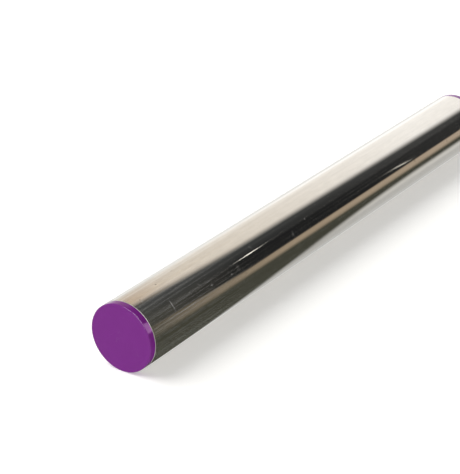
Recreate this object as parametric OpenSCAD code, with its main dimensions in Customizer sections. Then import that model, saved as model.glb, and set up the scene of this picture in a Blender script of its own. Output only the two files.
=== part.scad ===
// Round stainless steel pipe, closed at each end by a moulded push-in cap.
// The pipe lies along X, its middle over the origin and its lowest line on the floor plane.

/* [Pipe] */
// Outside diameter of the pipe
pipe_diameter = 54; // [40:0.1:110]
// Thickness of the pipe's wall
pipe_wall = 1.5; // [1:0.1:3]
// Length of the pipe between its two cut ends
pipe_length = 500; // [100:1:6000]
// Chamfer that deburring leaves on both edges of a cut end
deburr_chamfer = 0.2; // [0.1:0.05:0.4]

/* [Cap flange] */
// Thickness of the flange that covers the cut end
flange_thickness = 5.5; // [4:0.1:10]
// Distance of the flange's rim inside the pipe's outer surface
flange_inset = 0.1; // [0:0.05:0.3]
// Radius of the edge around the cap's face
face_edge_radius = 0.6; // [0.3:0.1:1.5]
// Radius of the edge that meets the pipe
seat_edge_radius = 0.3; // [0.1:0.1:0.6]
// Thickness of the cap's face over the hollow plug
face_wall = 2.2; // [1.5:0.1:3.5]

/* [Cap plug] */
// Depth of the plug inside the pipe
plug_depth = 14; // [12:0.5:30]
// Thickness of the plug's wall
plug_wall = 1.8; // [1:0.1:3]
// Lead-in chamfer at the plug's inner end
plug_lead = 1; // [0.5:0.1:1.5]
// Gap between the grip ribs and the pipe's bore
rib_clearance = 0.1; // [0.05:0.05:0.3]
// Height of a grip rib above the plug's wall
rib_height = 0.8; // [0.4:0.1:1.2]
// Width of a grip rib at its root
rib_width = 1.8; // [1:0.1:2.4]
// Width of the land on top of a grip rib
rib_land = 0.5; // [0.3:0.1:0.8]
// Distance from one grip rib to the next
rib_pitch = 3.2; // [2.5:0.1:3.6]
// Number of grip ribs
rib_count = 3; // [1:1:3]

/* [Hidden] */

steel_colour = [0.72, 0.71, 0.68];
cap_colour = [0.50, 0.22, 0.54];
round_sides = 128;
edge_sides = 32;
cut_overrun = 1;

pipe_radius = pipe_diameter / 2;
bore_radius = pipe_radius - pipe_wall;
flange_radius = pipe_radius - flange_inset;
rib_radius = bore_radius - rib_clearance;
plug_radius = rib_radius - rib_height;
hollow_radius = plug_radius - plug_wall;
hollow_top = flange_thickness - face_wall;

// Section of the pipe's wall: radius across, length upwards
module pipe_section() {
    half = pipe_length / 2;
    polygon([
        [bore_radius, -half + deburr_chamfer],
        [bore_radius + deburr_chamfer, -half],
        [pipe_radius - deburr_chamfer, -half],
        [pipe_radius, -half + deburr_chamfer],
        [pipe_radius, half - deburr_chamfer],
        [pipe_radius - deburr_chamfer, half],
        [bore_radius + deburr_chamfer, half],
        [bore_radius, half - deburr_chamfer]
    ]);
}

// Section of the flange: it seats on the cut end at height 0, and its face points upwards
module flange_section() {
    rim_height = flange_thickness - face_edge_radius - seat_edge_radius;
    square([flange_radius - face_edge_radius, flange_thickness]);
    square([flange_radius - seat_edge_radius, flange_thickness - face_edge_radius]);
    translate([0, seat_edge_radius])
        square([flange_radius, rim_height]);
    translate([flange_radius - face_edge_radius, flange_thickness - face_edge_radius])
        circle(r = face_edge_radius, $fn = edge_sides);
    translate([flange_radius - seat_edge_radius, seat_edge_radius])
        circle(r = seat_edge_radius, $fn = edge_sides);
}

// Section of the plug, from inside the flange down to its chamfered inner end
module plug_section() {
    polygon([
        [0, hollow_top],
        [plug_radius, hollow_top],
        [plug_radius, plug_lead - plug_depth],
        [plug_radius - plug_lead, -plug_depth],
        [0, -plug_depth]
    ]);
}

// Section of one grip rib: flat towards the flange, sloped towards the inner end
module rib_section() {
    polygon([
        [plug_radius - plug_wall / 2, 0],
        [rib_radius, 0],
        [rib_radius, -rib_land],
        [plug_radius, -rib_width],
        [plug_radius - plug_wall / 2, -rib_width]
    ]);
}

// One moulded cap: flange, ribbed plug and the hollow behind its face
module cap_body() {
    first_rib = rib_pitch / 2;
    difference() {
        union() {
            rotate_extrude($fn = round_sides)
                flange_section();
            rotate_extrude($fn = round_sides)
                plug_section();
            for (rib = [0 : rib_count - 1])
                translate([0, 0, -first_rib - rib * rib_pitch])
                    rotate_extrude($fn = round_sides)
                        rib_section();
        }
        translate([0, 0, -plug_depth - cut_overrun])
            cylinder(r = hollow_radius, h = cut_overrun + plug_depth + hollow_top, $fn = round_sides);
    }
}

// Lays a turned piece down: its own axis comes to lie along X, on the pipe's axis
module lay_down() {
    translate([0, 0, pipe_radius])
        rotate([0, 90, 0])
            children();
}

module pipe() {
    color(steel_colour)
        lay_down()
            rotate_extrude($fn = round_sides)
                pipe_section();
}

module left_end_cap() {
    color(cap_colour)
        lay_down()
            rotate([180, 0, 0])
                translate([0, 0, pipe_length / 2])
                    cap_body();
}

module right_end_cap() {
    color(cap_colour)
        lay_down()
            translate([0, 0, pipe_length / 2])
                cap_body();
}

pipe();
left_end_cap();
right_end_cap();
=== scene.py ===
"""Round stainless steel pipe with push-in end caps, dressed for rendering.

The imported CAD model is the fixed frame: the pipe lies along X on the floor plane, and each piece
below is built in metres at the place of the CAD node that it stands for.
"""

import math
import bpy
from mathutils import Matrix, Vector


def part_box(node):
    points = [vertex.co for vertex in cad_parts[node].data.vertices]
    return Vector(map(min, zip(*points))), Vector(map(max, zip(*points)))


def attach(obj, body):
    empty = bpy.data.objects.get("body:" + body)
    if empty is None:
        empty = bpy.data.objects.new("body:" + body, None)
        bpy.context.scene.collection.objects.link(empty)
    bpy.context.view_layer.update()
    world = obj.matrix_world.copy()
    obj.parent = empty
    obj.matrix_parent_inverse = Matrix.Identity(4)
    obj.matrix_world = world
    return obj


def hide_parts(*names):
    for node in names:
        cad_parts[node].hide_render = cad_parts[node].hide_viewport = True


bl_info = {
    "name": "Steel Pipe with End Caps",
    "version": (1, 0, 0),
    "blender": (4, 5, 0),
    "location": "View3D > Sidebar > Steel Pipe",
    "description": "Builds a bright drawn steel pipe, its moulded end caps and a plain studio",
    "category": "Add Mesh",
}

import bmesh
import bpy
from bpy.props import FloatProperty, FloatVectorProperty, IntProperty, PointerProperty
from mathutils import Matrix, Vector

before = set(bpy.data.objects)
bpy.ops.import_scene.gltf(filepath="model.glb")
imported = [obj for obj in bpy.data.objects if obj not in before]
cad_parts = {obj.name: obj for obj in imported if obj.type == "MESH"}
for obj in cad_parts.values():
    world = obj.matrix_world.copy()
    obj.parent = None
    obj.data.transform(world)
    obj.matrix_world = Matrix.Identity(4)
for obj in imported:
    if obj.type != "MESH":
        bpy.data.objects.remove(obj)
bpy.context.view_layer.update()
PIPE_LOW, PIPE_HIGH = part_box("pipe")
CAP_LOW, CAP_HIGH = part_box("right_end_cap")

MM = 0.001
LEFT_CAP = "left_cap"

# Meshes
SPIN_STEPS = 256
MERGE_DISTANCE = 1e-6
RING_TOLERANCE = 1e-5
SHARP_ANGLE = math.radians(40)
CHAMFER_SEGMENTS = 1
FACE_EDGE_SEGMENTS = 6
SEAT_EDGE_SEGMENTS = 4
SINK_SEGMENTS = 4
SINK_MARGIN = 0.0008
SINK_ROUNDING = 0.0007
GATE_RADIUS = 0.0018
GATE_SLOPE = 0.0008

# Light scratches on the pipe: place along it and angle round it from +Y, half length along it,
# half width round it, slant and strength; lengths in millimetres, angles in degrees
SCRATCHES = (
    (-220.6, 138.5, 0.65, 6.8, 0.0, 0.9),
    (-140.4, 146.0, 3.0, 3.8, 0.0, 0.18),
    (-64.5, 148.5, 1.0, 3.2, 6.0, 0.5),
    (-150.0, 149.0, 1.3, 1.1, 0.0, 0.7),
    (-174.5, 146.5, 1.5, 1.0, 20.0, 0.7),
    (-176.0, 138.4, 6.0, 0.7, 3.0, 0.5),
    (-205.0, 138.2, 50.0, 1.6, 0.2, 0.2),
    (-208.0, 155.0, 60.0, 0.7, 0.0, 0.35),
    (-240.0, 108.0, 1.0, 0.9, 0.0, 0.5),
    (-186.0, 135.0, 0.9, 2.4, 30.0, 0.4),
    (-116.0, 129.0, 0.9, 2.4, 25.0, 0.4),
    (-43.0, 138.0, 1.1, 0.9, 0.0, 0.6),
)
# Small dark pits and nicks, in the same terms
PITS = (
    (-216.0, 94.0, 0.9, 1.0, 20.0, 1.0),
    (-192.0, 86.0, 0.8, 0.8, 0.0, 0.9),
    (-240.5, 103.5, 0.8, 0.8, 0.0, 0.9),
    (130.0, 157.5, 0.8, 3.0, 15.0, 0.9),
    (-134.0, 160.5, 0.6, 1.2, 25.0, 0.8),
    (190.0, 162.0, 0.6, 2.2, -12.0, 0.8),
)
# How far a mark reaches through the surface
MARK_REACH = 3 * MM

# Noises: features per metre on each axis, detail, roughness and offset
FINE_LINES = ((2.0, 900.0, 900.0), 2.0, 0.6)
BROAD_LINES = ((1.2, 360.0, 360.0), 3.0, 0.7, (4.0, 2.0, 8.0))
SMEARS = ((10.0, 110.0, 110.0), 3.0, 0.6, (1.0, 6.0, 3.0))
TINT = ((4.0, 30.0, 30.0), 2.0, 0.5)
STEEL_MOTTLE = ((70.0, 260.0, 260.0), 2.0, 0.5, (2.0, 5.0, 7.0))
CAP_MOTTLE = ((90.0, 90.0, 90.0), 3.0)
CAP_GRAIN = ((2200.0, 2200.0, 2200.0), 2.0)
# Hairlines: features per metre and width of a line; then the noises that place and break them
STEEL_HAIRS = ((9.0, 70.0, 70.0), 0.006)
CAP_SCUFFS = ((150.0, 150.0, 150.0), 0.012)
HAIR_NOISE = (1.0, 0.5, (3.1, 7.7, 1.9))
HAIR_LEVEL = 0.5
PATCH_NOISE = (1.0, 0.5, (9.2, 0.4, 5.3))
PATCH_SCALE = 0.6
PATCH_RANGE = (0.56, 0.66)
# Dust specks: cells per metre and size of a speck, and the range of chance that keeps one
STEEL_DUST = (55.0, 0.0006)
SPECK_CHANCE = (0.6, 0.9)

# Steel: where the rubbed near end begins and is full, and which noise levels show as streaks
NEAR_END = (-0.08, -0.24)
BROAD_STREAKS = (0.49, 0.58)
THIN_STREAKS = (0.53, 0.6)
SMEAR_RANGE = (0.35, 0.7)
BROAD_SHARE = 0.7
# Haze that each kind of mark adds; drawn lines have one weight in the middle and one near the end
DRAWN_HAZE = (0.1, 0.29)
WIPED_HAZE = 0.06
HAIR_HAZE = 0.14
DUST_HAZE = 0.6
SCRATCH_HAZE = 1.6
# Tone: range of the summed noises, contrast in the middle and near the end, darkest and lightest shade
TONE_RANGE = (1.1, 1.9, -0.5, 0.5)
TONE_CONTRAST = (0.5, 1.45)
TONE_MIDDLE = 0.5
DARK_SHADE = 0.85
LIGHT_SHADE = 1.05
PIT_SHADE = 0.35
# What haze does to the metal, and roughness of the lines, of the haze and of the cut edges
HAZE_METAL = (0.0, 1.5, 1.0, 0.55)
LINE_ROUGHNESS = (0.3, 0.75, 0.02, 0.045)
HAZE_ROUGHNESS = 0.1
CUT_EDGE_INSETS = (0.3 * MM, 0.2 * MM)
CUT_EDGE_ROUGHNESS = 0.4
# Relief
LINE_DEPTH = 0.004 * MM
BROAD_HEIGHT = 1.5
SCRATCH_HEIGHT = -1.0
PIT_HEIGHT = -2.0

# Cap plastic: radii between which the face turns into the rim, shades, roughness and gloss
RIM_RADII = (26.3 * MM, 26.7 * MM)
MOTTLE_SHADE = 0.9
SCUFF_SHADE = 0.8
SCUFF_LIFT = 0.12
SCUFF_WEIGHT = 0.12
FACE_AND_RIM_ROUGHNESS = (0.32, 0.08)
MOTTLE_ROUGHNESS = 0.06
CAP_SPECULAR = 0.15
RIM_COAT = 0.4
RIM_COAT_ROUGHNESS = 0.06
GRAIN_DEPTH = 0.01 * MM
GRAIN_STRENGTH = 0.6

# Floor: half size, roughness, and where its own light grows behind the pipe and along it
FLOOR_SIZE = 8.0
FLOOR_ROUGHNESS = 0.8
FLOOR_GLOW_BEHIND = (0.03, 0.3)
FLOOR_GLOW_ALONG = (-0.1, 0.35, -0.1, 0.2)

# Direction that the key light comes from and its spread, and places and sizes of the soft boxes
KEY_FROM = (-0.35, 0.5, 0.79)
KEY_SPREAD = math.radians(50)
FILL_PLACE = (-1.5, -1.25, 1.45)
FILL_SIZE = (1.8, 1.8)
EDGE_PLACE = (-1.98, -0.1, 1.22)
EDGE_SIZE = (2.1, 2.0)
RIM_PLACE = (1.1, -1.35, 0.61)
RIM_SIZE = (0.35, 0.84)
RIM_LIGHT = (1.0, 0.55, 1.0)
SENSOR_WIDTH = 36.0

# Room that the steel mirrors. A reach is a range of how far a mirrored ray leans along the pipe, from
# 0, square on, to 1. A turn is a range of angles round the pipe, from +Y over the top to -Y, in
# degrees. A dip is a range of angles that run down from the open side's horizon, at -Y, in degrees.
# Near, middle and far go from a small lean to a large one.
DEEP_NEAR = (0.1, 0.1, 0.088)
DEEP_MIDDLE = (0.018, 0.019, 0.02)
DEEP_FAR = (0.034, 0.035, 0.036)
DEEP_NEAR_REACH = (0.685, 0.74)
DEEP_FAR_REACH = (0.785, 0.83)
TOP_NEAR = (0.075, 0.08, 0.083)
TOP_FAR = (0.135, 0.138, 0.14)
TOP_REACH = (0.73, 0.83)
TOP_TURN = (95, 145)
STRIP_NEAR = (0.108, 0.1, 0.075)
STRIP_MIDDLE = (0.51, 0.41, 0.3)
STRIP_FAR = (0.6, 0.49, 0.38)
STRIP_NEAR_REACH = (0.69, 0.76)
STRIP_FAR_REACH = (0.77, 0.835)
STRIP_LEAD = (0.69, 0.74, 18, 0)
STRIP_TURN = (173, 181)
CARD = (0.95, 0.92, 0.87)
CARD_REACH = (0.62, 0.45)
CARD_TURN = (116, 134)
WALL_SQUARE_ON = (0.95, 0.91, 0.85)
WALL_NEAR = (0.74, 0.59, 0.45)
WALL_MIDDLE = (0.95, 0.86, 0.75)
WALL_FAR = (1.38, 1.36, 1.34)
WALL_SQUARE_ON_REACH = (0.6, 0.68)
WALL_NEAR_REACH = (0.688, 0.71)
WALL_FAR_REACH = (0.715, 0.824)
WALL_FIRST_RISE = (0.66, 0.763, 64, 96)
WALL_LAST_RISE = (0.763, 0.835, 0, 13)
WALL_EDGE = (-12, 13, 1, 0)
GLOW_NEAR = (1.0, 0.965, 0.91)
GLOW_FAR = (1.5, 1.5, 1.5)
GLOW_REACH = (0.69, 0.78)
GLOW_TURN = (0, 30, 1, 0)
LEDGE = (1.35, 1.3, 1.22)
LEDGE_RISE = (17, 26)
LEDGE_FALL = (27, 34, 0.27, 0)
FRONT = (0.7, 0.7, 0.69)
FRONT_REACH = (-0.05, -0.35, 0.0, 0.4)
FLOOR_PALE = (1.1, 1.09, 1.06)
# Painted shadow of the pipe on the mirrored floor, darkest towards straight down
FLOOR_PAINTED_SHADOW = (0.63, 0.63, 0.615)
FLOOR_BACK = (1.15, 1.15, 1.13)
FLOOR_DEEP_DIP = (25, 75)
FLOOR_BACK_DIP = (100, 195)
# Painted shade on the mirrored floor: a dark gap below the strip that widens into a wedge towards the
# near end
GAP_PAINTED_SHADE = (0.075, 0.077, 0.06)
GAP_LAG = (0.76, 0.83, 0, 3.5)
GAP_DIP = (6, 24)
WEDGE_START = (0.6, 0.68)
WEDGE_TAPER = (0.66, 0.82, 100, 0)
FOOT_DIP = (30, 52)
# Small lamps that leave a glint on the steel: direction, tilt, size and light
LAMPS = (
    ((0.745, -0.469, 0.475), 0.0, (0.0055, 0.017, 0.017), (7.0, 6.8, 6.3)),
    ((0.812, -0.560, 0.152), -4.0, (0.002, 0.04, 0.075), (1.45, 1.4, 1.28)),
)


# Settings

class PipeSizes(bpy.types.PropertyGroup):
    """Sizes of the steel pipe"""

    length: FloatProperty(
        name="Length",
        description="Length of the pipe between its cut ends",
        default=PIPE_HIGH.x - PIPE_LOW.x,
        min=0.1,
        unit="LENGTH",
    )
    diameter: FloatProperty(
        name="Diameter",
        description="Outside diameter of the pipe",
        default=PIPE_HIGH.z - PIPE_LOW.z,
        min=0.04,
        unit="LENGTH",
    )
    wall: FloatProperty(
        name="Wall",
        description="Thickness of the pipe's wall",
        default=0.0015,
        min=0.001,
        max=0.003,
        unit="LENGTH",
    )
    chamfer: FloatProperty(
        name="Chamfer",
        description="Chamfer that deburring leaves on the cut ends",
        default=0.0002,
        min=0.0001,
        max=0.0004,
        unit="LENGTH",
    )


class CapSizes(bpy.types.PropertyGroup):
    """Sizes of a moulded end cap"""

    flange_thickness: FloatProperty(
        name="Flange Thickness",
        description="Thickness of the flange that covers the cut end",
        default=CAP_HIGH.x - PIPE_HIGH.x,
        min=0.004,
        max=0.01,
        unit="LENGTH",
    )
    flange_diameter: FloatProperty(
        name="Flange Diameter",
        description="Diameter of the flange's rim",
        default=CAP_HIGH.z - CAP_LOW.z,
        min=0.03,
        unit="LENGTH",
    )
    face_edge: FloatProperty(
        name="Face Edge",
        description="Radius of the edge around the cap's face",
        default=0.0006,
        min=0.0003,
        max=0.0015,
        unit="LENGTH",
    )
    seat_edge: FloatProperty(
        name="Seat Edge",
        description="Radius of the edge that meets the pipe",
        default=0.0003,
        min=0.0001,
        max=0.0006,
        unit="LENGTH",
    )
    face_wall: FloatProperty(
        name="Face Wall",
        description="Thickness of the face over the hollow plug",
        default=0.0022,
        min=0.0015,
        max=0.0035,
        unit="LENGTH",
    )
    plug_depth: FloatProperty(
        name="Plug Depth",
        description="Depth of the plug inside the pipe",
        default=PIPE_HIGH.x - CAP_LOW.x,
        min=0.012,
        max=0.03,
        unit="LENGTH",
    )
    plug_wall: FloatProperty(
        name="Plug Wall",
        description="Thickness of the plug's wall",
        default=0.0018,
        min=0.001,
        max=0.003,
        unit="LENGTH",
    )
    plug_lead: FloatProperty(
        name="Plug Lead",
        description="Lead-in chamfer at the plug's inner end",
        default=0.001,
        min=0.0005,
        max=0.0015,
        unit="LENGTH",
    )
    rib_clearance: FloatProperty(
        name="Rib Clearance",
        description="Gap between the grip ribs and the pipe's bore",
        default=0.0001,
        min=0.00005,
        max=0.0003,
        unit="LENGTH",
    )
    rib_height: FloatProperty(
        name="Rib Height",
        description="Height of a grip rib above the plug's wall",
        default=0.0008,
        min=0.0004,
        max=0.0012,
        unit="LENGTH",
    )
    rib_width: FloatProperty(
        name="Rib Width",
        description="Width of a grip rib at its root",
        default=0.0018,
        min=0.001,
        max=0.0024,
        unit="LENGTH",
    )
    rib_land: FloatProperty(
        name="Rib Land",
        description="Width of the land on top of a grip rib",
        default=0.0005,
        min=0.0003,
        max=0.0008,
        unit="LENGTH",
    )
    rib_pitch: FloatProperty(
        name="Rib Pitch",
        description="Distance from one grip rib to the next",
        default=0.0032,
        min=0.0025,
        max=0.0036,
        unit="LENGTH",
    )
    rib_count: IntProperty(
        name="Ribs",
        description="Number of grip ribs",
        default=3,
        min=1,
        max=3,
    )
    sink_depth: FloatProperty(
        name="Sink Depth",
        description="Depth of the shallow sink ring that the plug's wall draws into the face",
        default=0.0001,
        min=0.0,
        max=0.0003,
        unit="LENGTH",
    )
    gate_depth: FloatProperty(
        name="Gate Depth",
        description="Depth of the small gate dimple in the middle of the face",
        default=0.00005,
        min=0.0,
        max=0.0005,
        unit="LENGTH",
    )


class FinishColours(bpy.types.PropertyGroup):
    """Colours of the finishes"""

    steel: FloatVectorProperty(
        name="Steel",
        description="Colour of the bright drawn steel",
        default=(0.66, 0.635, 0.59),
        min=0.0,
        max=1.0,
        subtype="COLOR",
    )
    cap: FloatVectorProperty(
        name="Cap",
        description="Colour of the moulded cap plastic",
        default=(0.176, 0.016, 0.224),
        min=0.0,
        max=1.0,
        subtype="COLOR",
    )
    floor: FloatVectorProperty(
        name="Floor",
        description="Colour of the studio floor",
        default=(0.9, 0.9, 0.89),
        min=0.0,
        max=1.0,
        subtype="COLOR",
    )


class StudioSettings(bpy.types.PropertyGroup):
    """Camera and light of the studio"""

    eye: FloatVectorProperty(
        name="Eye",
        description="Place of the camera",
        default=(-1.0351, -0.6344, 0.5875),
        subtype="TRANSLATION",
        unit="LENGTH",
    )
    aim: FloatVectorProperty(
        name="Aim",
        description="Direction in which the camera looks",
        default=(0.74142, 0.51329, -0.43224),
        subtype="DIRECTION",
    )
    lens: FloatProperty(
        name="Lens",
        description="Focal length on a sensor 36 mm wide, in millimetres",
        default=125.85,
        min=20.0,
    )
    key_strength: FloatProperty(
        name="Key Strength",
        description="Strength of the soft key light",
        default=1.9,
        min=0.0,
    )
    fill_power: FloatProperty(
        name="Fill Power",
        description="Power of the soft box beside the camera",
        default=18.0,
        min=0.0,
        unit="POWER",
    )
    edge_power: FloatProperty(
        name="Edge Power",
        description="Power of the front soft box that draws a line on the cap's edge",
        default=140.0,
        min=0.0,
        unit="POWER",
    )
    rim_power: FloatProperty(
        name="Rim Power",
        description="Power of the soft box that leaves a highlight on the cap's rim",
        default=4.6,
        min=0.0,
        unit="POWER",
    )
    floor_glow: FloatProperty(
        name="Floor Glow",
        description="Light that the floor gives off itself, as a lit table does",
        default=0.26,
        min=0.0,
    )


# Node helpers

def add_node(tree, kind, inputs=None, **settings):
    """Adds a node, sets its settings and fills its input sockets with values or other sockets."""
    node = tree.nodes.new(kind)
    for name, value in settings.items():
        setattr(node, name, value)
    for socket, value in (inputs or {}).items():
        if isinstance(value, bpy.types.NodeSocket):
            tree.links.new(value, node.inputs[socket])
        else:
            node.inputs[socket].default_value = value
    return node


def math_node(tree, operation, *values):
    """Adds a Math node and returns its output."""
    node = add_node(tree, "ShaderNodeMath", dict(enumerate(values)), operation=operation)
    return node.outputs[0]


def mix_colour(tree, factor, first, second):
    """Adds a colour Mix node and returns its output."""
    sockets = {"Factor_Float": factor, "A_Color": first, "B_Color": second}
    node = tree.nodes.new("ShaderNodeMix")
    node.data_type = "RGBA"
    for socket in node.inputs:
        if socket.identifier in sockets:
            value = sockets[socket.identifier]
            if isinstance(value, bpy.types.NodeSocket):
                tree.links.new(value, socket)
            elif socket.identifier == "Factor_Float":
                socket.default_value = value
            else:
                socket.default_value = (*value, 1.0)
    return next(socket for socket in node.outputs if socket.identifier == "Result_Color")


def map_range(tree, value, low, high, to_low=0.0, to_high=1.0, smooth=False):
    """Adds a Map Range node and returns its output."""
    node = add_node(
        tree,
        "ShaderNodeMapRange",
        {"Value": value, "From Min": low, "From Max": high, "To Min": to_low, "To Max": to_high},
    )
    if smooth:
        node.interpolation_type = "SMOOTHSTEP"
    return node.outputs[0]


def stretched_noise(tree, place, scale, detail, roughness=0.5, offset=(0.0, 0.0, 0.0)):
    """Adds a noise texture whose features are stretched by a scale per axis, in features per metre."""
    mapping = add_node(
        tree, "ShaderNodeMapping", {"Vector": place, "Scale": scale, "Location": offset}
    )
    noise = add_node(
        tree,
        "ShaderNodeTexNoise",
        {"Vector": mapping.outputs[0], "Scale": 1.0, "Detail": detail, "Roughness": roughness},
    )
    return noise.outputs["Fac"]


def new_material(name):
    """Makes an empty node material and returns it with its tree, its shader and its place socket."""
    material = bpy.data.materials.new(name)
    material.use_nodes = True
    tree = material.node_tree
    tree.nodes.clear()
    shader = add_node(tree, "ShaderNodeBsdfPrincipled")
    output = add_node(tree, "ShaderNodeOutputMaterial")
    tree.links.new(shader.outputs[0], output.inputs["Surface"])
    place = add_node(tree, "ShaderNodeTexCoord").outputs["Object"]
    return material, tree, shader, place


# Finishes

def surface_mark(tree, place, mark):
    """Mask of one small mark on the pipe's outside: full at its middle, fading to 0 at its edge."""
    x, angle, half_length, half_width, slant, strength = mark
    turn = math.radians(angle)
    radius = (PIPE_HIGH.z - PIPE_LOW.z) / 2
    centre = (x * MM, radius * math.cos(turn), radius + radius * math.sin(turn))
    around = Matrix.Rotation(turn - math.pi / 2, 3, "X")
    slanted = around @ Matrix.Rotation(math.radians(slant), 3, "Z")
    mapping = add_node(
        tree,
        "ShaderNodeMapping",
        vector_type="TEXTURE",
        inputs={
            "Vector": place,
            "Location": centre,
            "Rotation": slanted.to_euler("XYZ"),
            "Scale": (half_length * MM, half_width * MM, MARK_REACH),
        },
    )
    mask = add_node(
        tree,
        "ShaderNodeTexGradient",
        {"Vector": mapping.outputs[0]},
        gradient_type="SPHERICAL",
    )
    return math_node(tree, "MULTIPLY", mask.outputs["Fac"], strength)


def marks_mask(tree, place, marks):
    """Joins several marks into one mask."""
    mask = surface_mark(tree, place, marks[0])
    for mark in marks[1:]:
        mask = math_node(tree, "MAXIMUM", mask, surface_mark(tree, place, mark))
    return mask


def hairlines(tree, place, scale, width):
    """Mask of fine broken scratches: thin level lines of one noise, kept where another is high."""
    level = stretched_noise(tree, place, scale, *HAIR_NOISE)
    off_level = math_node(tree, "ABSOLUTE", math_node(tree, "SUBTRACT", level, HAIR_LEVEL))
    line = map_range(tree, off_level, 0.0, width, 1.0, 0.0)
    wide = [axis * PATCH_SCALE for axis in scale]
    keep = stretched_noise(tree, place, wide, *PATCH_NOISE)
    return math_node(tree, "MULTIPLY", line, map_range(tree, keep, *PATCH_RANGE))


def specks(tree, place, per_metre, size):
    """Mask of small round specks, a few to each patch of the surface."""
    cells = add_node(tree, "ShaderNodeTexVoronoi", {"Vector": place, "Scale": per_metre})
    dot = map_range(tree, cells.outputs["Distance"], 0.0, size * per_metre, 1.0, 0.0)
    chance = add_node(tree, "ShaderNodeSeparateXYZ", {0: cells.outputs["Color"]}).outputs[0]
    return math_node(tree, "MULTIPLY", dot, map_range(tree, chance, *SPECK_CHANCE))


def steel_material(colours):
    """Bright drawn stainless steel: fine lengthwise lines, wiping haze and a few light scratches."""
    material, tree, shader, place = new_material("drawn_steel")
    along = add_node(tree, "ShaderNodeSeparateXYZ", {0: place}).outputs["X"]
    fine_lines = stretched_noise(tree, place, *FINE_LINES)
    broad_lines = stretched_noise(tree, place, *BROAD_LINES)
    smears = stretched_noise(tree, place, *SMEARS)
    tint = stretched_noise(tree, place, *TINT)
    mottle = stretched_noise(tree, place, *STEEL_MOTTLE)
    from_middle = math_node(tree, "ABSOLUTE", along)
    near_end = map_range(tree, along, *NEAR_END, smooth=True)
    scratches = marks_mask(tree, place, SCRATCHES)
    pits = marks_mask(tree, place, PITS)
    hair = hairlines(tree, place, *STEEL_HAIRS)
    dust = specks(tree, place, *STEEL_DUST)

    # Haze that dulls the mirror
    streaks = map_range(tree, broad_lines, *BROAD_STREAKS)
    thin_streaks = map_range(tree, fine_lines, *THIN_STREAKS)
    drawn = math_node(tree, "MULTIPLY_ADD", streaks, BROAD_SHARE, thin_streaks)
    wiped = math_node(tree, "MULTIPLY", map_range(tree, smears, *SMEAR_RANGE), near_end)
    haze = math_node(tree, "MULTIPLY", drawn, map_range(tree, near_end, 0.0, 1.0, *DRAWN_HAZE))
    haze = math_node(tree, "MULTIPLY_ADD", wiped, WIPED_HAZE, haze)
    haze = math_node(tree, "MULTIPLY_ADD", hair, HAIR_HAZE, haze)
    haze = math_node(tree, "MULTIPLY_ADD", dust, DUST_HAZE, haze)
    haze = math_node(tree, "MULTIPLY_ADD", scratches, SCRATCH_HAZE, haze)

    # Colour, more uneven near the rubbed end
    tone = math_node(tree, "ADD", math_node(tree, "ADD", fine_lines, tint), mottle)
    contrast = map_range(tree, near_end, 0.0, 1.0, *TONE_CONTRAST)
    tone = map_range(tree, tone, *TONE_RANGE)
    tone = math_node(tree, "MULTIPLY_ADD", tone, contrast, TONE_MIDDLE)
    darker = [part * DARK_SHADE for part in colours.steel]
    lighter = [part * LIGHT_SHADE for part in colours.steel]
    clean = mix_colour(tree, tone, darker, lighter)
    dull = [sum(colours.steel) / 3] * 3
    colour = mix_colour(tree, haze, clean, dull)
    dark_pit = [part * PIT_SHADE for part in colours.steel]
    colour = mix_colour(tree, pits, colour, dark_pit)
    tree.links.new(colour, shader.inputs["Base Color"])

    # Gloss and relief
    metal = map_range(tree, haze, *HAZE_METAL)
    tree.links.new(metal, shader.inputs["Metallic"])
    rough = map_range(tree, fine_lines, *LINE_ROUGHNESS)
    rough = math_node(tree, "MULTIPLY_ADD", haze, HAZE_ROUGHNESS, rough)
    edge_start, edge_end = [PIPE_HIGH.x - inset for inset in CUT_EDGE_INSETS]
    cut_edge = map_range(tree, from_middle, edge_start, edge_end)
    rough = math_node(tree, "MULTIPLY_ADD", cut_edge, CUT_EDGE_ROUGHNESS, rough)
    tree.links.new(rough, shader.inputs["Roughness"])
    height = math_node(tree, "MULTIPLY_ADD", broad_lines, BROAD_HEIGHT, fine_lines)
    height = math_node(tree, "MULTIPLY_ADD", scratches, SCRATCH_HEIGHT, height)
    height = math_node(tree, "MULTIPLY_ADD", pits, PIT_HEIGHT, height)
    bump = add_node(tree, "ShaderNodeBump", {"Height": height, "Distance": LINE_DEPTH})
    tree.links.new(bump.outputs[0], shader.inputs["Normal"])
    return material


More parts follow.
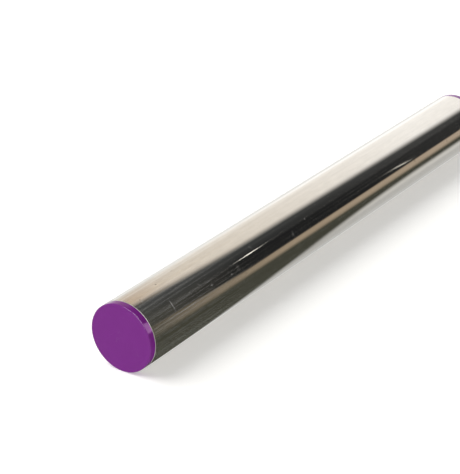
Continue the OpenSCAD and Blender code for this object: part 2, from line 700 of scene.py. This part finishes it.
def cap_material(colours, axis_height):
    """Moulded purple plastic: satin face, glossier rim, faint flow marks and handling scuffs."""
    material, tree, shader, place = new_material("cap_plastic")
    centred = add_node(
        tree, "ShaderNodeMapping", {"Vector": place, "Location": (0.0, 0.0, -axis_height)}
    ).outputs[0]
    flat = add_node(
        tree, "ShaderNodeMapping", {"Vector": centred, "Scale": (0.0, 1.0, 1.0)}
    ).outputs[0]
    from_axis = add_node(tree, "ShaderNodeVectorMath", {0: flat}, operation="LENGTH")
    rim = map_range(tree, from_axis.outputs["Value"], *RIM_RADII)
    mottle = stretched_noise(tree, place, *CAP_MOTTLE)
    grain = stretched_noise(tree, place, *CAP_GRAIN)
    scuffs = hairlines(tree, place, *CAP_SCUFFS)

    deep = [part * MOTTLE_SHADE for part in colours.cap]
    colour = mix_colour(tree, mottle, deep, colours.cap)
    pale = [part * SCUFF_SHADE + SCUFF_LIFT for part in colours.cap]
    colour = mix_colour(tree, math_node(tree, "MULTIPLY", scuffs, SCUFF_WEIGHT), colour, pale)
    tree.links.new(colour, shader.inputs["Base Color"])
    rough = map_range(tree, rim, 0.0, 1.0, *FACE_AND_RIM_ROUGHNESS)
    rough = math_node(tree, "MULTIPLY_ADD", mottle, MOTTLE_ROUGHNESS, rough)
    tree.links.new(rough, shader.inputs["Roughness"])
    shader.inputs["Specular IOR Level"].default_value = CAP_SPECULAR
    gloss = math_node(tree, "MULTIPLY", rim, RIM_COAT)
    tree.links.new(gloss, shader.inputs["Coat Weight"])
    shader.inputs["Coat Roughness"].default_value = RIM_COAT_ROUGHNESS
    bump = add_node(
        tree,
        "ShaderNodeBump",
        {"Height": grain, "Distance": GRAIN_DEPTH, "Strength": GRAIN_STRENGTH},
    )
    tree.links.new(bump.outputs[0], shader.inputs["Normal"])
    return material


def floor_material(colours, glow):
    """Plain pale floor that glows a little, most behind the far end, as a lit table does."""
    material, tree, shader, place = new_material("pale_floor")
    shader.inputs["Base Color"].default_value = (*colours.floor, 1.0)
    shader.inputs["Roughness"].default_value = FLOOR_ROUGHNESS
    shader.inputs["Emission Color"].default_value = (1.0, 1.0, 1.0, 1.0)
    parts = add_node(tree, "ShaderNodeSeparateXYZ", {0: place})
    behind = map_range(tree, parts.outputs["Y"], *FLOOR_GLOW_BEHIND, smooth=True)
    far = map_range(tree, parts.outputs["X"], *FLOOR_GLOW_ALONG, smooth=True)
    light = math_node(tree, "MULTIPLY_ADD", behind, far, glow)
    tree.links.new(light, shader.inputs["Emission Strength"])
    return material


# Meshes

def spin_section(corners, axis_height):
    """Spins a closed or axis-to-axis section, given as (x, radius) corners, round the pipe's axis."""
    bm = bmesh.new()
    verts = [bm.verts.new((x, 0.0, axis_height + radius)) for x, radius in corners]
    edges = [bm.edges.new(pair) for pair in zip(verts, verts[1:])]
    if corners[0][1] > 0.0:
        edges.append(bm.edges.new((verts[-1], verts[0])))
    bmesh.ops.spin(
        bm,
        geom=verts + edges,
        cent=(0.0, 0.0, axis_height),
        axis=(1.0, 0.0, 0.0),
        angle=math.tau,
        steps=SPIN_STEPS,
        use_merge=True,
    )
    bmesh.ops.remove_doubles(bm, verts=bm.verts, dist=MERGE_DISTANCE)
    bmesh.ops.recalc_face_normals(bm, faces=bm.faces)
    return bm


def bevel_ring(bm, corner, axis_height, offset, segments):
    """Bevels the ring of edges at one (x, radius) corner of a spun section."""
    x, radius = corner

    def on_ring(vert):
        from_axis = math.hypot(vert.co.y, vert.co.z - axis_height)
        return abs(vert.co.x - x) < RING_TOLERANCE and abs(from_axis - radius) < RING_TOLERANCE

    ring = [edge for edge in bm.edges if all(on_ring(vert) for vert in edge.verts)]
    if not ring:
        raise RuntimeError(f"no ring of edges at x {x:.4f} and radius {radius:.4f}")
    bmesh.ops.bevel(
        bm,
        geom=ring,
        offset=offset,
        offset_type="OFFSET",
        segments=segments,
        profile=0.5,
        affect="EDGES",
        material=-1,
    )


def add_piece(name, bm, material, node):
    """Links a finished mesh as a piece that stands for a CAD node and rides on the part's body."""
    mesh = bpy.data.meshes.new(name)
    bm.to_mesh(mesh)
    bm.free()
    mesh.polygons.foreach_set("use_smooth", [True] * len(mesh.polygons))
    mesh.set_sharp_from_angle(angle=SHARP_ANGLE)
    mesh.materials.append(material)
    piece = bpy.data.objects.new(name, mesh)
    bpy.context.scene.collection.objects.link(piece)
    piece.modifiers.new("flat_faces", "WEIGHTED_NORMAL").keep_sharp = True
    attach(piece, "root")
    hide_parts(node)
    return piece


def pipe_mesh(sizes):
    """The pipe's wall, chamfered at its four end edges."""
    radius = sizes.diameter / 2
    bore = radius - sizes.wall
    half = sizes.length / 2
    corners = [(-half, bore), (half, bore), (half, radius), (-half, radius)]
    bm = spin_section(corners, radius)
    for corner in corners:
        bevel_ring(bm, corner, radius, sizes.chamfer, CHAMFER_SEGMENTS)
    return bm


def cap_mesh(caps, pipe):
    """One cap at the right end: face, rim, ribbed plug and the hollow behind the face."""
    seat = pipe.length / 2
    axis_height = pipe.diameter / 2
    rim = caps.flange_diameter / 2
    rib_top = axis_height - pipe.wall - caps.rib_clearance
    plug = rib_top - caps.rib_height
    hollow = plug - caps.plug_wall
    face = seat + caps.flange_thickness
    end = seat - caps.plug_depth
    sink_middle = (hollow + plug) / 2

    corners = [(face - caps.gate_depth, 0.0), (face - caps.gate_depth, GATE_RADIUS)]
    corners.append((face, GATE_RADIUS + GATE_SLOPE))
    corners.append((face, hollow - SINK_MARGIN))
    corners.append((face - caps.sink_depth, sink_middle))
    corners.append((face, plug + SINK_MARGIN))
    corners.append((face, rim))
    corners.append((seat, rim))
    corners.append((seat, plug))
    for index in range(caps.rib_count):
        shoulder = seat - caps.rib_pitch * (index + 0.5)
        corners.append((shoulder, plug))
        corners.append((shoulder, rib_top))
        corners.append((shoulder - caps.rib_land, rib_top))
        corners.append((shoulder - caps.rib_width, plug))
    corners.append((end + caps.plug_lead, plug))
    corners.append((end, plug - caps.plug_lead))
    corners.append((end, hollow))
    corners.append((face - caps.face_wall, hollow))
    corners.append((face - caps.face_wall, 0.0))

    bm = spin_section(corners, axis_height)
    sink = (face - caps.sink_depth, sink_middle)
    bevel_ring(bm, (face, rim), axis_height, caps.face_edge, FACE_EDGE_SEGMENTS)
    bevel_ring(bm, (seat, rim), axis_height, caps.seat_edge, SEAT_EDGE_SEGMENTS)
    bevel_ring(bm, sink, axis_height, SINK_ROUNDING, SINK_SEGMENTS)
    return bm


# Operators

class PIPE_OT_add_steel_pipe(bpy.types.Operator):
    """Add the steel pipe"""

    bl_idname = "pipe.add_steel_pipe"
    bl_label = "Steel Pipe"
    bl_options = {"REGISTER", "UNDO"}

    def execute(self, context):
        sizes = context.scene.pipe_sizes
        material = steel_material(context.scene.finish_colours)
        add_piece("steel_pipe", pipe_mesh(sizes), material, "pipe")
        return {"FINISHED"}


class PIPE_OT_add_end_caps(bpy.types.Operator):
    """Add the moulded cap at each end of the pipe"""

    bl_idname = "pipe.add_end_caps"
    bl_label = "End Caps"
    bl_options = {"REGISTER", "UNDO"}

    def execute(self, context):
        pipe = context.scene.pipe_sizes
        caps = context.scene.cap_sizes
        axis_height = pipe.diameter / 2
        material = cap_material(context.scene.finish_colours, axis_height)
        add_piece("right_cap", cap_mesh(caps, pipe), material, "right_end_cap")
        left = cap_mesh(caps, pipe)
        bmesh.ops.rotate(
            left,
            cent=(0.0, 0.0, axis_height),
            matrix=Matrix.Rotation(math.pi, 3, "Z"),
            verts=left.verts,
        )
        add_piece(LEFT_CAP, left, material, "left_end_cap")
        return {"FINISHED"}


class PIPE_OT_add_studio(bpy.types.Operator):
    """Add the pale floor, the soft light and the camera"""

    bl_idname = "pipe.add_studio"
    bl_label = "Studio"
    bl_options = {"REGISTER", "UNDO"}

    def execute(self, context):
        scene = context.scene
        settings = scene.studio_settings

        bm = bmesh.new()
        bmesh.ops.create_grid(bm, x_segments=1, y_segments=1, size=FLOOR_SIZE)
        mesh = bpy.data.meshes.new("floor")
        bm.to_mesh(mesh)
        bm.free()
        mesh.materials.append(floor_material(scene.finish_colours, settings.floor_glow))
        floor = bpy.data.objects.new("floor", mesh)
        floor.visible_glossy = False
        scene.collection.objects.link(floor)

        lamp = bpy.data.lights.new("soft_key", "SUN")
        lamp.energy = settings.key_strength
        lamp.angle = KEY_SPREAD
        key = bpy.data.objects.new("soft_key", lamp)
        key.rotation_euler = (-Vector(KEY_FROM)).to_track_quat("-Z", "Y").to_euler()
        key.visible_glossy = False
        scene.collection.objects.link(key)
        add_soft_box("fill", FILL_PLACE, FILL_SIZE, settings.fill_power)
        near_cap = bpy.data.collections.new("near_cap")
        near_cap.objects.link(bpy.data.objects[LEFT_CAP])
        edge = add_soft_box("edge", EDGE_PLACE, EDGE_SIZE, settings.edge_power)
        edge.light_linking.receiver_collection = near_cap
        rim = add_soft_box("rim", RIM_PLACE, RIM_SIZE, settings.rim_power)
        rim.light_linking.receiver_collection = near_cap
        rim.data.color = RIM_LIGHT

        scene.world = studio_world()

        lens = bpy.data.cameras.new("camera")
        lens.sensor_fit = "HORIZONTAL"
        lens.sensor_width = SENSOR_WIDTH
        lens.lens = settings.lens
        camera = bpy.data.objects.new("camera", lens)
        camera.location = settings.eye
        camera.rotation_euler = Vector(settings.aim).to_track_quat("-Z", "Y").to_euler()
        scene.collection.objects.link(camera)
        scene.camera = camera
        scene.view_settings.view_transform = "Standard"
        return {"FINISHED"}


def add_soft_box(name, place, size, power):
    """Adds an area light that faces the middle of the pipe and only makes highlights."""
    lamp = bpy.data.lights.new(name, "AREA")
    lamp.shape = "RECTANGLE"
    lamp.size, lamp.size_y = size
    lamp.energy = power
    light = bpy.data.objects.new(name, lamp)
    light.location = place
    light.rotation_euler = (-Vector(place)).to_track_quat("-Z", "Y").to_euler()
    light.visible_camera = False
    light.visible_diffuse = False
    bpy.context.scene.collection.objects.link(light)
    return light


def studio_world():
    """Soft room that the steel mirrors; angles run round the pipe, from +Y over the top to -Y."""
    world = bpy.data.worlds.new("studio")
    world.use_nodes = True
    tree = world.node_tree
    tree.nodes.clear()
    direction = add_node(tree, "ShaderNodeTexCoord").outputs["Generated"]
    parts = add_node(tree, "ShaderNodeSeparateXYZ", {0: direction})
    lengthwise = math_node(tree, "ABSOLUTE", parts.outputs["X"])
    around = math_node(tree, "ARCTAN2", parts.outputs["Z"], parts.outputs["Y"])
    angle = math_node(tree, "DEGREES", around)

    # Dark upper room, with a tan strip low on the open side
    deep = mix_colour(tree, map_range(tree, lengthwise, *DEEP_NEAR_REACH), DEEP_NEAR, DEEP_MIDDLE)
    deep = mix_colour(tree, map_range(tree, lengthwise, *DEEP_FAR_REACH), deep, DEEP_FAR)
    top = mix_colour(tree, map_range(tree, lengthwise, *TOP_REACH), TOP_NEAR, TOP_FAR)
    upper = mix_colour(tree, map_range(tree, angle, *TOP_TURN), top, deep)
    strip = mix_colour(
        tree, map_range(tree, lengthwise, *STRIP_NEAR_REACH), STRIP_NEAR, STRIP_MIDDLE
    )
    strip = mix_colour(tree, map_range(tree, lengthwise, *STRIP_FAR_REACH), strip, STRIP_FAR)
    early = math_node(tree, "ADD", angle, map_range(tree, lengthwise, *STRIP_LEAD))
    room = mix_colour(tree, map_range(tree, early, *STRIP_TURN, smooth=True), upper, strip)

    # Pale card that lights the open side when the pipe is seen square on
    square_on = map_range(tree, lengthwise, *CARD_REACH, smooth=True)
    card = math_node(
        tree, "MULTIPLY", square_on, map_range(tree, angle, *CARD_TURN, smooth=True)
    )
    room = mix_colour(tree, card, room, CARD)

    # Pale wall behind the pipe, whose top edge climbs towards the far end
    wall_top = math_node(
        tree,
        "ADD",
        map_range(tree, lengthwise, *WALL_FIRST_RISE, smooth=True),
        map_range(tree, lengthwise, *WALL_LAST_RISE),
    )
    above = math_node(tree, "SUBTRACT", angle, wall_top)
    wall = mix_colour(tree, map_range(tree, lengthwise, *WALL_FAR_REACH), WALL_MIDDLE, WALL_FAR)
    wall = mix_colour(tree, map_range(tree, lengthwise, *WALL_NEAR_REACH), WALL_NEAR, wall)
    wall = mix_colour(
        tree, map_range(tree, lengthwise, *WALL_SQUARE_ON_REACH), WALL_SQUARE_ON, wall
    )
    glow = mix_colour(tree, map_range(tree, lengthwise, *GLOW_REACH), GLOW_NEAR, GLOW_FAR)
    wall = mix_colour(tree, map_range(tree, angle, *GLOW_TURN, smooth=True), wall, glow)
    ledge = math_node(
        tree,
        "MULTIPLY",
        map_range(tree, angle, *LEDGE_RISE, smooth=True),
        map_range(tree, angle, *LEDGE_FALL, smooth=True),
    )
    wall = mix_colour(tree, ledge, wall, LEDGE)
    room = mix_colour(tree, map_range(tree, above, *WALL_EDGE, smooth=True), room, wall)

    for centre, tilt, size, light in LAMPS:
        mapping = add_node(
            tree,
            "ShaderNodeMapping",
            vector_type="TEXTURE",
            inputs={
                "Vector": direction,
                "Location": centre,
                "Rotation": (0.0, math.radians(tilt), 0.0),
                "Scale": size,
            },
        )
        spot = add_node(
            tree,
            "ShaderNodeTexGradient",
            {"Vector": mapping.outputs[0]},
            gradient_type="SPHERICAL",
        )
        room = mix_colour(tree, spot.outputs["Fac"], room, light)

    # Soft glow of the front half of the room, which the left cap's face turns to
    front = map_range(tree, parts.outputs["X"], *FRONT_REACH, smooth=True)
    room = mix_colour(tree, front, room, FRONT)

    # Floor as the steel mirrors it, painted in place of the real one: the strip runs on, then a dark
    # gap, then the pale floor, which is darker towards straight down as painted shadow of the pipe.
    # The gap is painted shade and widens into a wedge towards the near end.
    open_side = math_node(tree, "MULTIPLY", parts.outputs["Y"], -1.0)
    below = math_node(tree, "MULTIPLY", parts.outputs["Z"], -1.0)
    dip = math_node(tree, "DEGREES", math_node(tree, "ARCTAN2", below, open_side))
    shade = mix_colour(
        tree, map_range(tree, dip, *FLOOR_DEEP_DIP, smooth=True), FLOOR_PALE, FLOOR_PAINTED_SHADOW
    )
    shade = mix_colour(
        tree, map_range(tree, dip, *FLOOR_BACK_DIP, smooth=True), shade, FLOOR_BACK
    )
    past_strip = math_node(tree, "SUBTRACT", dip, map_range(tree, lengthwise, *GAP_LAG))
    gap = mix_colour(tree, map_range(tree, past_strip, *GAP_DIP, smooth=True), strip, GAP_PAINTED_SHADE)
    wedge = math_node(
        tree,
        "MULTIPLY",
        map_range(tree, parts.outputs["X"], *WEDGE_START),
        map_range(tree, parts.outputs["X"], *WEDGE_TAPER, smooth=True),
    )
    past_gap = math_node(tree, "SUBTRACT", dip, wedge)
    foot = mix_colour(tree, map_range(tree, past_gap, *FOOT_DIP, smooth=True), gap, shade)
    foot = mix_colour(tree, square_on, foot, shade)
    room = mix_colour(tree, math_node(tree, "GREATER_THAN", below, 0.0), room, foot)

    lit = add_node(tree, "ShaderNodeBackground", {"Color": room})
    plain = add_node(tree, "ShaderNodeBackground", {"Color": (1.0, 1.0, 1.0, 1.0)})
    seen = add_node(tree, "ShaderNodeLightPath").outputs["Is Camera Ray"]
    mix = add_node(
        tree, "ShaderNodeMixShader", {0: seen, 1: lit.outputs[0], 2: plain.outputs[0]}
    )
    output = add_node(tree, "ShaderNodeOutputWorld")
    tree.links.new(mix.outputs[0], output.inputs["Surface"])
    return world


class VIEW3D_PT_steel_pipe(bpy.types.Panel):
    """Sidebar panel with the sizes, the colours and the operators"""

    bl_label = "Steel Pipe"
    bl_idname = "VIEW3D_PT_steel_pipe"
    bl_space_type = "VIEW_3D"
    bl_region_type = "UI"
    bl_category = "Steel Pipe"

    def draw(self, context):
        for operator in OPERATORS:
            self.layout.operator(operator.bl_idname)
        for name in SETTINGS:
            box = self.layout.box()
            group = getattr(context.scene, name)
            for field in group.__annotations__:
                box.prop(group, field)


SETTINGS = {
    "pipe_sizes": PipeSizes,
    "cap_sizes": CapSizes,
    "finish_colours": FinishColours,
    "studio_settings": StudioSettings,
}
OPERATORS = (PIPE_OT_add_steel_pipe, PIPE_OT_add_end_caps, PIPE_OT_add_studio)


def register():
    """Registers the settings, the operators and the panel."""
    for name, group in SETTINGS.items():
        bpy.utils.register_class(group)
        setattr(bpy.types.Scene, name, PointerProperty(type=group))
    for operator in OPERATORS:
        bpy.utils.register_class(operator)
    bpy.utils.register_class(VIEW3D_PT_steel_pipe)


def unregister():
    """Removes what register added."""
    bpy.utils.unregister_class(VIEW3D_PT_steel_pipe)
    for operator in reversed(OPERATORS):
        bpy.utils.unregister_class(operator)
    for name, group in SETTINGS.items():
        delattr(bpy.types.Scene, name)
        bpy.utils.unregister_class(group)


def main():
    """Builds the pieces and the studio."""
    register()
    bpy.ops.pipe.add_steel_pipe()
    bpy.ops.pipe.add_end_caps()
    bpy.ops.pipe.add_studio()


if __name__ == "__main__":
    main()
